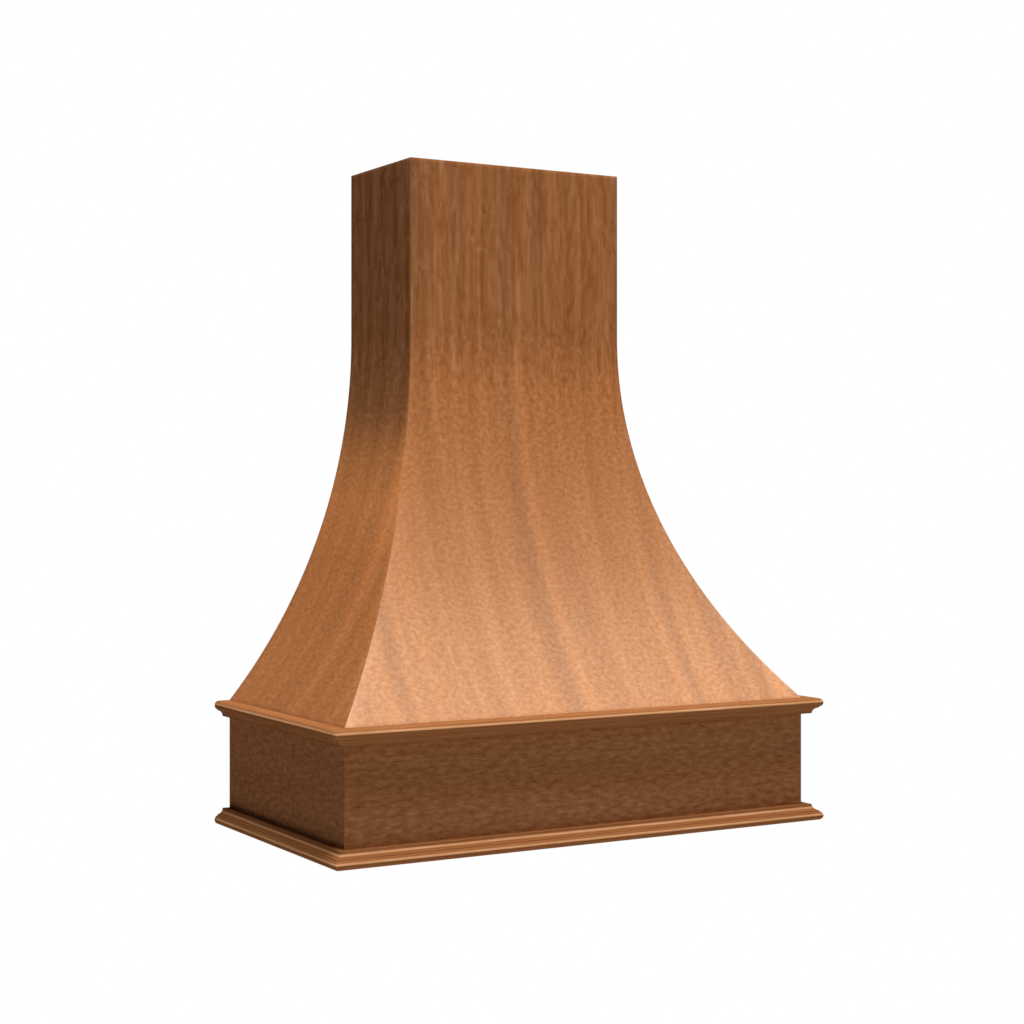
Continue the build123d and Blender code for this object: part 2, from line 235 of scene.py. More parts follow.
class WoodRecipe(Recipe):
    """The shader of one wood, drawn on the piece's own grain attribute."""

    def __init__(self, name):
        material = bpy.data.materials.new(name)
        material.use_nodes = True
        super().__init__(material.node_tree)
        self.material = material
        self.shader = self.tree.nodes["Principled BSDF"]
        self.grain = self.add("ShaderNodeAttribute", attribute_name="grain").outputs["Vector"]
        parts = self.add("ShaderNodeSeparateXYZ", {0: self.grain}).outputs
        self.along, self.across, self.depth = parts[0], parts[1], parts[2]

    def figure(self, along, across, depth=1.0, detail=2.0, roughness=0.5, place=None):
        """Noise of a given size in metres along, across and into the wood, 0.5 on average."""
        scale = (1 / along, 1 / across, 1 / depth)
        stretched = self.add(
            "ShaderNodeVectorMath", {0: place or self.grain, 1: scale}, operation="MULTIPLY"
        ).outputs[0]
        return self.add(
            "ShaderNodeTexNoise",
            {"Vector": stretched, "Scale": 1.0, "Detail": detail, "Roughness": roughness},
        ).outputs["Fac"]

    def share(self, value, low, high, smooth=False):
        """0 at low and 1 at high."""
        return self.add(
            "ShaderNodeMapRange",
            {"Value": value, "From Min": low, "From Max": high},
            interpolation_type="SMOOTHSTEP" if smooth else "LINEAR",
        ).outputs["Result"]

    def around_half(self, *terms):
        """0.5 plus each (figure, weight), where a figure is 0.5 on average."""
        total = 0.5
        for figure, weight in terms:
            centred = self.difference(figure, 0.5)
            total = self.scaled(centred, weight, total)
        return total

    def tones(self, value, mean, spread):
        """Mean colour where the value is 0.5, darker and redder below, and lighter above."""
        steepness = (1, 1.45, 2.1)
        low = [c * (1 - spread) ** power for c, power in zip(mean, steepness)]
        high = [c * (1 + spread) ** power for c, power in zip(mean, steepness)]
        return self.ramp(value, ((0, low), (0.5, mean), (1, high)))

    def ramp(self, value, stops):
        """Colour between the stops, which are (value, colour) from 0 to 1."""
        made = self.add("ShaderNodeValToRGB", {"Fac": value})
        elements = made.color_ramp.elements
        while len(elements) < len(stops):
            elements.new(0.5)
        for element, (position, colour) in zip(elements, stops):
            element.position = position
            element.color = (*colour, 1)
        return made.outputs["Color"]

    def tinted(self, colour, tint, share=1.0):
        """Colour multiplied by a tint where the share is 1."""
        by = tint if isinstance(tint, bpy.types.NodeSocket) else (*tint, 1)
        inputs = {"Factor": share, 6: colour, 7: by}
        mixed = self.add("ShaderNodeMix", inputs, data_type="RGBA", blend_type="MULTIPLY")
        return mixed.outputs[2]

    def finish(self, colour, roughness, height, relief, specular):
        """Link the colour, roughness and relief, and set the gloss, which is the same all over."""
        bump = self.add("ShaderNodeBump", {"Height": height, "Strength": 1.0, "Distance": relief})
        self.tree.links.new(colour, self.shader.inputs["Base Color"])
        self.tree.links.new(roughness, self.shader.inputs["Roughness"])
        self.tree.links.new(bump.outputs["Normal"], self.shader.inputs["Normal"])
        self.shader.inputs["Specular IOR Level"].default_value = specular
        return self.material


# ------------ finishes
def drawn_out(wood, begins, ends, share):
    """Distance along the grain, on which a figure grows longer between two places.

    Before the first place it is the real distance, and past the second it advances by the share.
    """
    drawn = wood.share(wood.along, begins, ends)
    under_way = wood.product(wood.product(drawn, drawn), (ends - begins) / 2)
    past = wood.maths("MAXIMUM", wood.difference(wood.along, ends), 0.0)
    return wood.scaled(wood.sum(under_way, past), share - 1.0, wood.along)


def ribbon_sapele(name, mean, tone_and_painted_light, ripple_width, specular):
    """Veneer of a bent panel: rippled on the flare, and drawn out into stripes on the chimney.

    The stops give the tone from the foot up. It is partly the wood's own tone and partly painted
    light, with a painted sheen at the front panel's foot. The gloss is far below a lacquer's, which
    would veil the panel.
    """
    wood = WoodRecipe(name)
    wander = wood.difference(wood.figure(0.30, 0.10, detail=1.0), 0.5)
    across = wood.scaled(wander, 0.014, wood.across)
    place = wood.vector(wood.along, across, wood.depth)
    along = drawn_out(wood, 0.50, 0.74, 0.15)
    shift = wood.difference(wood.figure(0.09, 0.07, detail=1.0), 0.5)
    along = wood.scaled(shift, 0.03, along)
    rippled_place = wood.vector(along, across, wood.depth)
    straight = wood.share(wood.along, 0.42, 0.72)
    ripples = wood.figure(0.0070, ripple_width, detail=2.0, roughness=0.6, place=rippled_place)
    dashes = wood.share(
        wood.figure(0.012, 0.45 * ripple_width, detail=1.0, place=rippled_place), 0.58, 0.76
    )
    stripes = wood.figure(0.45, 1.4 * ripple_width, detail=2.0, place=place)
    fibres = wood.figure(0.030, 0.0018, detail=2.0, place=place)
    pores = wood.share(wood.figure(0.006, 0.0009, detail=1.0, place=place), 0.62, 0.74)
    marks = wood.around_half((ripples, 0.65), (stripes, 0.12), (fibres, 0.18))
    striped = wood.product(wood.difference(stripes, 0.5), straight)
    marks = wood.scaled(striped, 0.40, marks)
    marks = wood.scaled(dashes, -0.10, marks)
    marks = wood.scaled(pores, -0.08, marks)
    strength = wood.scaled(straight, 0.55, 1.2)
    value = wood.scaled(wood.difference(marks, 0.48), strength, 0.5)
    colour = wood.tones(value, list(mean), 0.42)
    # Painted light and sheen along the grain, from the stops, over the wood's own tone
    colour = wood.tinted(colour, wood.ramp(wood.along, tone_and_painted_light))
    darker = wood.share(wood.figure(1.5, 0.050, detail=1.0, place=place), 0.36, 0.64)
    colour = wood.tinted(colour, (0.83, 0.84, 0.86), darker)
    greyer = wood.share(wood.figure(1.8, 0.036, detail=1.0, place=place), 0.40, 0.62)
    colour = wood.tinted(colour, (0.93, 0.95, 1.0), greyer)
    roughness = wood.scaled(value, -0.14, 0.47)
    height = wood.scaled(pores, -0.6, value)
    return wood.finish(colour, roughness, height, 0.00008, specular)


def ribbon_veneer():
    """Veneer of the front panel, paler and whiter towards the foot with painted light and sheen."""
    # Stops of painted light and sheen, from the foot up
    tone_and_painted_light = (
        (0.0, (1.0, 1.0, 1.0)), (0.15, (0.973, 0.958, 0.943)), (0.30, (0.86, 0.77, 0.675)),
        (0.44, (0.83, 0.69, 0.533)), (0.62, (0.863, 0.66, 0.439)), (0.72, (0.731, 0.568, 0.381)),
        (1.0, (0.657, 0.513, 0.346)),
    )
    return ribbon_sapele("ribbon_veneer", bpy.context.scene.hood_colours.skin, tone_and_painted_light, 0.0105, 0.08)


def side_ribbon_veneer():
    """The same veneer on the side panels, with painted light that is strongest in the middle of the
    flare; darker at both ends.
    """
    # Stops of painted light along the side panels, from the foot up
    tone_and_painted_light = (
        (0.0, (0.495, 0.39, 0.278)), (0.20, (0.612, 0.463, 0.315)), (0.30, (0.727, 0.546, 0.368)),
        (0.41, (1.0, 0.755, 0.505)), (0.49, (0.965, 0.757, 0.507)), (0.58, (0.616, 0.497, 0.361)),
        (0.80, (0.50, 0.395, 0.298)), (1.0, (0.485, 0.396, 0.318)),
    )
    # Painted light: the sides' colour is this much paler than the front's
    paler = 1.305
    mean = [c * paler for c in bpy.context.scene.hood_colours.skin]
    return ribbon_sapele("side_ribbon_veneer", mean, tone_and_painted_light, 0.016, 0.0)


def level_sapele(name, mean, spread, specular):
    """Veneer of the apron, with level grain, short dark dashes and hardly any gloss."""
    wood = WoodRecipe(name)
    wander = wood.difference(wood.figure(0.20, 0.06, detail=1.0), 0.5)
    across = wood.scaled(wander, 0.012, wood.across)
    place = wood.vector(wood.along, across, wood.depth)
    ripples = wood.figure(0.019, 0.0075, 0.0075, detail=2.0, roughness=0.6, place=place)
    dashes = wood.share(wood.figure(0.016, 0.0035, 0.0035, detail=1.0, place=place), 0.58, 0.76)
    bands = wood.figure(0.80, 0.050, 0.050, detail=1.0, place=place)
    fibres = wood.figure(0.030, 0.0018, 0.0018, detail=2.0, place=place)
    pores = wood.share(wood.figure(0.006, 0.0009, 0.0009, detail=1.0, place=place), 0.62, 0.74)
    value = wood.around_half((ripples, 1.40), (bands, 0.45), (fibres, 0.60))
    value = wood.scaled(dashes, -0.22, wood.sum(value, 0.05))
    value = wood.scaled(pores, -0.14, value)
    colour = wood.tones(value, list(mean), spread)
    roughness = wood.scaled(value, -0.14, 0.50)
    height = wood.scaled(pores, -0.6, value)
    return wood.finish(colour, roughness, height, 0.00008, specular)


def level_veneer():
    """Darker veneer of the apron's front."""
    return level_sapele("level_veneer", bpy.context.scene.hood_colours.apron, 0.42, 0.06)


def side_level_veneer():
    """The apron's veneer at the sides, paler to stand in for part of the photograph's light."""
    # Painted light: paler than the apron's front by these factors
    paler = (1.30, 1.37, 1.60)
    mean = [c * by for c, by in zip(bpy.context.scene.hood_colours.apron, paler)]
    return level_sapele("side_level_veneer", mean, 0.34, 0.0)


def solid_mahogany():
    """Solid mahogany with straight streaks, and a pale line on both noses and in the lower cove.

    The lines stand in for highlights. They keep their levels on the hood from every view.
    """
    sizes = bpy.context.scene.hood_boards
    cove_level = (sizes.fillet_height + sizes.cap_height) / 2
    painted_highlight_levels = (1.28 * sizes.nose_radius, cove_level, foot_level - 0.72 * sizes.nose_radius)
    line_end, line_core = 0.0024, 0.0008
    # Painted highlights: how much paler the wood is on each line
    paler = (2.3, 3.0, 4.0)
    wood = WoodRecipe("solid_mahogany")
    place = wood.add("ShaderNodeTexCoord").outputs["Object"]
    level = wood.add("ShaderNodeSeparateXYZ", {0: place}).outputs["Z"]
    on_painted_highlight = 0.0
    for painted_highlight_level in painted_highlight_levels:
        away = wood.maths("ABSOLUTE", wood.difference(level, painted_highlight_level))
        on_painted_highlight = wood.maths("MAXIMUM", wood.share(away, line_end, line_core), on_painted_highlight)
    streaks = wood.figure(0.12, 0.0028, 0.0028, detail=3.0, roughness=0.6)
    fibres = wood.figure(0.02, 0.0012, 0.0012, detail=1.0)
    pores = wood.share(wood.figure(0.006, 0.0008, 0.0008, detail=1.0), 0.62, 0.74)
    value = wood.around_half((streaks, 0.8), (fibres, 0.4))
    value = wood.scaled(pores, -0.15, value)
    colour = wood.tones(value, list(bpy.context.scene.hood_colours.moulding), 0.40)
    colour = wood.tinted(colour, paler, on_painted_highlight)
    roughness = wood.scaled(value, -0.12, 0.42)
    return wood.finish(colour, roughness, value, 0.00006, specular=0.0)


def birch_ply():
    """Birch plywood: rotary-cut face, and cross-banded layers with dark glue lines at the edges."""
    wood = WoodRecipe("birch_ply")
    layers, board_thickness = bpy.context.scene.hood_boards.ply_layers, 0.018
    layer = wood.scaled(wood.depth, 0.999 * layers / board_thickness, 0.01)
    odd = wood.maths("PINGPONG", wood.maths("FLOOR", layer), 1.0)
    into_layer = wood.maths("FRACT", layer)
    glue = wood.share(wood.maths("ABSOLUTE", wood.difference(into_layer, 0.04)), 0.05, 0.02)
    rotary = wood.figure(0.35, 0.030, 0.4, detail=3.0, roughness=0.55)
    fibres = wood.figure(0.040, 0.0011, 0.0011, detail=2.0)
    flecks = wood.share(wood.figure(0.009, 0.0013, 0.0013, detail=1.0), 0.66, 0.76)
    value = wood.around_half((rotary, 0.9), (fibres, 0.5))
    colour = wood.tones(value, list(bpy.context.scene.hood_colours.birch), 0.22)
    colour = wood.tinted(colour, (0.72, 0.63, 0.54), wood.product(odd, 0.75))
    dark_lines = wood.maths("MAXIMUM", glue, wood.product(flecks, 0.35))
    colour = wood.tinted(colour, (0.52, 0.42, 0.33), dark_lines)
    roughness = wood.scaled(value, 0.10, 0.58)
    height = wood.scaled(dark_lines, -0.8, value)
    return wood.finish(colour, roughness, height, 0.00010, specular=0.25)


def bending_ply():
    """Back of the bent panels: plain open-grained bending plywood."""
    wood = WoodRecipe("bending_ply")
    bands = wood.figure(1.2, 0.035, detail=2.0)
    fibres = wood.figure(0.05, 0.0018, detail=3.0, roughness=0.65)
    pores = wood.share(wood.figure(0.007, 0.0010, detail=1.0), 0.60, 0.72)
    value = wood.around_half((bands, 0.8), (fibres, 0.8))
    value = wood.scaled(pores, -0.2, value)
    colour = wood.tones(value, list(bpy.context.scene.hood_colours.bending), 0.28)
    roughness = wood.scaled(value, 0.08, 0.66)
    return wood.finish(colour, roughness, value, 0.00012, specular=0.2)


def planed_pine():
    """Planed softwood: growth rings round a pith outside the board."""
    wood = WoodRecipe("planed_pine")
    drift = wood.figure(0.45, 0.05, 0.05, detail=2.0)
    pith_across, pith_inward, ring_width = 0.031, 0.058, 0.0034
    across = wood.scaled(drift, 0.012, wood.sum(wood.across, pith_across))
    inward = wood.sum(wood.depth, pith_inward)
    squares = wood.scaled(across, across, wood.product(inward, inward))
    ring = wood.maths("FRACT", wood.maths("DIVIDE", wood.maths("SQRT", squares), ring_width))
    late = wood.product(wood.share(ring, 0.45, 0.92, smooth=True), wood.share(ring, 1.0, 0.94))
    fibres = wood.figure(0.05, 0.0012, 0.0012, detail=2.0)
    value = wood.around_half((fibres, 0.5), (drift, 0.5))
    colour = wood.tones(value, list(bpy.context.scene.hood_colours.pine), 0.18)
    colour = wood.tinted(colour, (0.80, 0.62, 0.42), wood.product(late, 0.8))
    roughness = wood.scaled(late, -0.08, 0.62)
    height = wood.sum(value, late)
    return wood.finish(colour, roughness, height, 0.00008, specular=0.25)


def planed_beech():
    """Beech: even, with fine short ray flecks."""
    wood = WoodRecipe("planed_beech")
    tone = wood.figure(0.20, 0.010, 0.010, detail=2.0)
    flecks = wood.share(wood.figure(0.0035, 0.0006, 0.0006, detail=1.0), 0.60, 0.72)
    value = wood.around_half((tone, 0.8))
    colour = wood.tones(value, list(bpy.context.scene.hood_colours.beech), 0.2)
    colour = wood.tinted(colour, (0.75, 0.62, 0.5), wood.product(flecks, 0.5))
    roughness = wood.scaled(value, 0.1, 0.55)
    return wood.finish(colour, roughness, value, 0.00006, specular=0.25)


def zinc_plate():
    """Yellowish zinc plating, duller where its mottle is paler."""
    metal = WoodRecipe("zinc_plate")
    place = metal.add("ShaderNodeTexCoord").outputs["Object"]
    mottle = metal.figure(0.0012, 0.0012, 0.0012, detail=3.0, place=place)
    colour = metal.tones(mottle, list(bpy.context.scene.hood_colours.zinc), 0.18)
    roughness = metal.scaled(mottle, 0.25, 0.22)
    metal.shader.inputs["Metallic"].default_value = 1.0
    return metal.finish(colour, roughness, mottle, 0.00002, specular=0.5)


def finish_called(name):
    """The finish of that name, made the first time it is asked for."""
    makers = {
        made.__name__: made
        for made in (
            ribbon_veneer, side_ribbon_veneer, level_veneer, side_level_veneer, solid_mahogany,
            birch_ply, bending_ply, planed_pine, planed_beech, zinc_plate,
        )
    }
    return bpy.data.materials.get(name) or makers[name]()


# ------------ pieces
def shown(mesh, name, slot, *nodes):
    """Put a finished mesh in the scene under the root body, and hide the CAD nodes that it stands for.
    """
    piece = bpy.data.objects.new(name, mesh)
    bpy.context.scene.collection.objects.link(piece)
    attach(piece, "root")
    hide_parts(*nodes)


def ease_edges(solid, width):
    """Round every sharp edge of a bmesh a little."""
    sharp = [
        edge for edge in solid.edges if edge.is_manifold and edge.calc_face_angle() > SHARP_ANGLE
    ]
    bmesh.ops.bevel(
        solid, geom=sharp, offset=width, offset_type="OFFSET", segments=2, profile=0.5,
        affect="EDGES", clamp_overlap=True, material=-1,
    )
    bmesh.ops.recalc_face_normals(solid, faces=solid.faces)


def write_grain(mesh, grain_at):
    """Store along, across and depth for every point."""
    grain = mesh.attributes.get("grain") or mesh.attributes.new("grain", "FLOAT_VECTOR", "POINT")
    values = [number for vertex in mesh.vertices for number in grain_at(vertex.co)]
    grain.data.foreach_set("vector", values)


def smooth_sides(mesh):
    """Shade a mesh smooth except at its corners."""
    mesh.shade_smooth()
    mesh.set_sharp_from_angle(angle=SHARP_ANGLE)


def to_mesh(solid, name):
    """Mesh from a bmesh, smooth except at its corners."""
    mesh = bpy.data.meshes.new(name)
    solid.to_mesh(mesh)
    solid.free()
    smooth_sides(mesh)
    return mesh


def grain_start(name):
    """Metres along an endless plank at which a piece begins, so that each has its own figure."""
    return random.Random(name).uniform(0, 7)


def board_grain(low, along, inward, start):
    """Grain of a straight board, from its axes and the lowest corner of its box."""
    across = along.cross(inward)

    def grain_at(place):
        local = place - low
        return (place.dot(along) + start, local.dot(across) + start, local.dot(inward))

    return grain_at


def merged_solid(node):
    """Copy of a CAD node's mesh, with its loose triangles joined at their corners."""
    solid = bmesh.new()
    solid.from_mesh(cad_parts[node].data)
    bmesh.ops.remove_doubles(solid, verts=solid.verts, dist=SAME_PLACE)
    return solid


def dressed_board(node, slot, finishes, along, inward):
    """A CAD board with merged corners, eased edges and its own grain.

    The finishes are those of the face, of the back that inward points to, and of the edges.
    """
    solid = merged_solid(node)
    bmesh.ops.dissolve_limit(
        solid, angle_limit=FLAT_ANGLE, verts=solid.verts, edges=solid.edges
    )
    ease_edges(solid, bpy.context.scene.hood_boards.arris)
    squarely = 0.7
    for face in solid.faces:
        facing = face.normal.dot(inward)
        face.material_index = 0 if facing < -squarely else 1 if facing > squarely else 2
    mesh = to_mesh(solid, node)
    for finish in finishes:
        mesh.materials.append(finish_called(finish))
    depths = [vertex.co.dot(inward) for vertex in mesh.vertices]
    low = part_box(node)[0]
    low = low + inward * (min(depths) - low.dot(inward))
    write_grain(mesh, board_grain(low, along, inward, grain_start(node)))
    shown(mesh, f"{node}_piece", slot, node)


def plywood_board(node, along, inward):
    """A board of birch plywood all round."""
    dressed_board(node, "plywood", ("birch_ply",) * 3, along, inward)


def softwood_board(node, along, inward):
    """A board of planed softwood all round."""
    dressed_board(node, "softwood", ("planed_pine",) * 3, along, inward)


# ------------ bent skins
def tree_with(name, sockets):
    """Empty geometry node tree with its named inputs and a geometry output."""
    tree = bpy.data.node_groups.new(name, "GeometryNodeTree")
    for socket, kind in sockets.items():
        tree.interface.new_socket(socket, in_out="INPUT", socket_type=f"NodeSocket{kind}")
    tree.interface.new_socket("Geometry", in_out="OUTPUT", socket_type="NodeSocketGeometry")
    return tree


def skin_tree():
    """Geometry nodes of a bent panel: a block of faces laid on the flare, mitred at its ends."""
    tree = tree_with("Bent skin", {
        "Rows": "Int", "Columns": "Int", "Side": "Float", "Chimney half width": "Float",
        "Chimney depth": "Float", "Foot level": "Float", "Bend level": "Float",
        "Top level": "Float", "Flare radius": "Float", "Thickness": "Float",
        "Face": "Material", "Back": "Material", "Edge": "Material",
    })
    make = Recipe(tree)
    given = make.add("NodeGroupInput").outputs
    counts = {"Vertices X": given["Columns"], "Vertices Y": 2, "Vertices Z": given["Rows"]}
    block = make.add("GeometryNodeMeshCube", {"Size": (1, 1, 1), **counts}).outputs["Mesh"]
    place = make.add("ShaderNodeSeparateXYZ", {0: make.add("GeometryNodeInputPosition").outputs[0]})
    across, inward, height = (make.sum(place.outputs[axis], 0.5) for axis in range(3))
    depth = make.product(inward, given["Thickness"])
    rise = make.difference(given["Bend level"], given["Foot level"])
    upright = make.difference(given["Top level"], given["Bend level"])
    face_turn = make.maths("ARCSINE", make.maths("DIVIDE", rise, given["Flare radius"]))
    face_arc = make.product(given["Flare radius"], face_turn)
    length = make.sum(face_arc, upright)
    run = make.product(height, length)
    radius = make.sum(given["Flare radius"], depth)
    turn = make.maths("ARCSINE", make.maths("DIVIDE", rise, radius))
    bent = make.maths("MINIMUM", make.maths("DIVIDE", run, face_arc), 1.0)
    angle = make.product(turn, make.difference(1.0, bent))
    above = make.maths("MAXIMUM", make.difference(run, face_arc), 0.0)
    drop = make.product(radius, make.maths("SINE", angle))
    level = make.sum(make.difference(given["Bend level"], drop), above)
    lean = make.product(radius, make.difference(1.0, make.maths("COSINE", angle)))
    reach = make.difference(lean, depth)
    reach_out = make.sum(given["Chimney half width"], reach)
    reach_front = make.sum(given["Chimney depth"], reach)
    centred = make.scaled(across, 2.0, -1.0)
    front_x = make.product(centred, reach_out)
    side_x = make.product(given["Side"], reach_out)
    on_side = make.maths("ABSOLUTE", given["Side"])
    x = make.add("ShaderNodeMix", {"Factor": on_side, 2: front_x, 3: side_x}).outputs[0]
    share_out = make.add("ShaderNodeMix", {"Factor": on_side, 2: 1.0, 3: across}).outputs[0]
    y = make.product(make.product(share_out, reach_front), -1.0)
    sideways = make.add("ShaderNodeMix", {"Factor": on_side, 2: x, 3: y}).outputs[0]
    leaf_apart = 3.7
    own_leaf = make.scaled(given["Side"], leaf_apart, sideways)
    with_grain = make.add(
        "GeometryNodeStoreNamedAttribute",
        {"Geometry": block, "Name": "grain", "Value": make.vector(run, own_leaf, depth)},
        data_type="FLOAT_VECTOR", domain="POINT",
    ).outputs["Geometry"]
    on_flare = make.vector(x, y, level)
    laid = make.add("GeometryNodeSetPosition", {"Geometry": with_grain, "Position": on_flare})
    grain = make.add("GeometryNodeInputNamedAttribute", {"Name": "grain"}, data_type="FLOAT_VECTOR")
    into = make.add("ShaderNodeSeparateXYZ", {0: grain.outputs["Attribute"]}).outputs["Z"]
    on_face = make.maths("LESS_THAN", into, make.product(given["Thickness"], 0.1))
    on_back = make.maths("GREATER_THAN", into, make.product(given["Thickness"], 0.9))
    real = make.add("GeometryNodeRealizeInstances", {"Geometry": laid.outputs[0]}).outputs[0]
    for selection, finish in ((None, "Edge"), (on_back, "Back"), (on_face, "Face")):
        inputs = {"Geometry": real, "Material": given[finish]}
        if selection:
            inputs["Selection"] = selection
        real = make.add("GeometryNodeSetMaterial", inputs).outputs[0]
    make.add("NodeGroupOutput", {"Geometry": real})
    return tree


def grown(tree, base, values):
    """Plain mesh that a geometry node tree makes of a base mesh, with its named inputs set."""
    seed = bpy.data.objects.new("seed", base)
    bpy.context.scene.collection.objects.link(seed)
    modifier = seed.modifiers.new("Grow", "NODES")
    modifier.node_group = tree
    for item in tree.interface.items_tree:
        if item.item_type == "SOCKET" and item.name in values:
            modifier[item.identifier] = values[item.name]
    evaluated = seed.evaluated_get(bpy.context.evaluated_depsgraph_get())
    mesh = bpy.data.meshes.new_from_object(evaluated)
    seed.modifiers.remove(modifier)
    bpy.data.objects.remove(seed)
    if mesh.materials[0] is None:
        mesh.materials.pop(index=0)
    return mesh


def bent_skin(tree, name, side, face):
    """One of the three veneered panels."""
    sizes = bpy.context.scene.hood_skin
    chimney_depth = -skin_high.y + sizes.thickness
    rise = bend_level - foot_level
    reach = apron_depth - chimney_depth
    values = {
        "Rows": sizes.rows, "Columns": sizes.columns, "Side": float(side),
        "Chimney half width": waist_high.x + sizes.thickness, "Chimney depth": chimney_depth,
        "Foot level": foot_level, "Bend level": bend_level, "Top level": top_level,
        "Flare radius": (rise**2 + reach**2) / (2 * reach), "Thickness": sizes.thickness,
        "Face": finish_called(face), "Back": finish_called("bending_ply"),
        "Edge": finish_called("birch_ply"),
    }
    mesh = grown(tree, bpy.data.meshes.new(name), values)
    solid = bmesh.new()
    solid.from_mesh(mesh)
    ease_edges(solid, sizes.arris)
    solid.to_mesh(mesh)
    solid.free()
    smooth_sides(mesh)
    shown(mesh, f"{name}_panel", "skin_veneer", name)


# ------------ mouldings
def arc_points(centre, start, end, steps):
    """Points of the shorter arc round a centre, from one point to another."""
    first, last = start - centre, end - centre
    turn = -first.angle_signed(last)
    return [centre + Matrix.Rotation(turn * step / steps, 2) @ first for step in range(steps + 1)]


def moulding_section():
    """Nose, fillet, cove and cap, as (out from the apron, up from the nose side)."""
    sizes = bpy.context.scene.hood_boards
    projection = apron_low.y - moulding_low.y
    height = moulding_high.z - moulding_low.z
    nose = Vector((projection - sizes.nose_radius, sizes.nose_radius))
    under_nose = Vector((nose.x, 0))
    back = sizes.fillet_depth - nose.x
    nose_end = nose + Vector((back, math.sqrt(sizes.nose_radius**2 - back**2)))
    nose_tip = nose + Vector((sizes.nose_radius, 0))
    cove_low = Vector((sizes.fillet_depth, sizes.fillet_height))
    cove_high = Vector((sizes.cap_depth, sizes.cap_height))
    chord = cove_high - cove_low
    outward = Vector((chord.y, -chord.x)).normalized()
    bulge = math.sqrt(sizes.cove_radius**2 - (chord.length / 2) ** 2)
    cove = (cove_low + cove_high) / 2 + bulge * outward
    half = sizes.nose_steps // 2
    return [
        Vector((0, 0)),
        *arc_points(nose, under_nose, nose_tip, half),
        *arc_points(nose, nose_tip, nose_end, half)[1:],
        *arc_points(cove, cove_low, cove_high, half),
        Vector((sizes.cap_depth, height)),
        Vector((0, height)),
    ]


def moulding(name, level, rise, side):
    """One mitred length of moulding, along the front or along a side."""
    section = moulding_section()
    lengths = 24
    solid = bmesh.new()
    rings = []
    for step in range(lengths + 1):
        share = step / lengths
        ring = []
        for out, up in section:
            reach_out, reach_front = apron_half_width + out, apron_depth + out
            if side:
                place = (side * reach_out, -share * reach_front, level + rise * up)
            else:
                place = ((2 * share - 1) * reach_out, -reach_front, level + rise * up)
            ring.append(solid.verts.new(place))
        rings.append(ring)
    for near, far in zip(rings, rings[1:]):
        for index in range(len(section)):
            after = (index + 1) % len(section)
            solid.faces.new((near[index], near[after], far[after], far[index]))
    solid.faces.new(rings[0])
    solid.faces.new(rings[-1])
    bmesh.ops.recalc_face_normals(solid, faces=solid.faces)
    ease_edges(solid, bpy.context.scene.hood_boards.arris / 2)
    mesh = to_mesh(solid, name)
    mesh.materials.append(finish_called("solid_mahogany"))
    along = ALONG_Y if side else ALONG_X
    inward = Vector((-side, 0, 0)) if side else ALONG_Y
    write_grain(mesh, board_grain(Vector((0, 0, level)), along, inward, grain_start(name)))
    shown(mesh, f"{name}_length", "moulding_wood", name)


